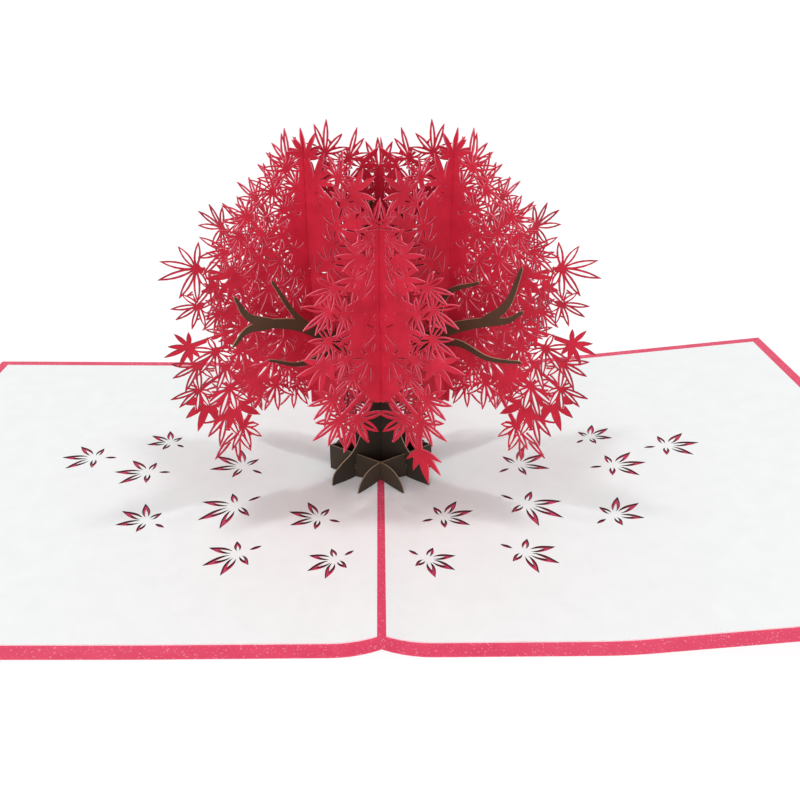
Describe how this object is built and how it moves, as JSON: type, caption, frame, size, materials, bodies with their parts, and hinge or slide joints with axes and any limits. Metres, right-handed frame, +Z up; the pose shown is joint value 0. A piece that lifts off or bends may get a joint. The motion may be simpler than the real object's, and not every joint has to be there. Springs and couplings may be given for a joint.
{
  "type": "pop up card",
  "caption": "Open folded greeting card with a tree of slotted laser-cut paper sheets that stands up from the spine, and leaf-shaped cut-outs in its white inner panels.",
  "frame": {"origin": "middle of the spine at table height, the bottom centre of the open card's bounding box", "axes": "+X across the open card to the right page, +Y along the spine away from the reader, +Z up from the table"},
  "size_m": [0.2995, 0.15, 0.1037],
  "materials": {
    "cover_card": "satin shimmer card",
    "page_card": "matt white card",
    "brown_paper": "matt dark brown paper",
    "leaf_paper": "satin red paper"
  },
  "bodies": {
    "root": {"card_cover": "cover_card", "left_page": "page_card", "right_page": "page_card", "trunk_sheet_a": "brown_paper", "trunk_sheet_b": "brown_paper", "left_root_collar": "brown_paper", "right_root_collar": "brown_paper", "leaf_sheet_front_left": "leaf_paper", "leaf_sheet_front_right": "leaf_paper", "leaf_sheet_back_left": "leaf_paper", "leaf_sheet_back_right": "leaf_paper"}
  },
  "joints": []
}
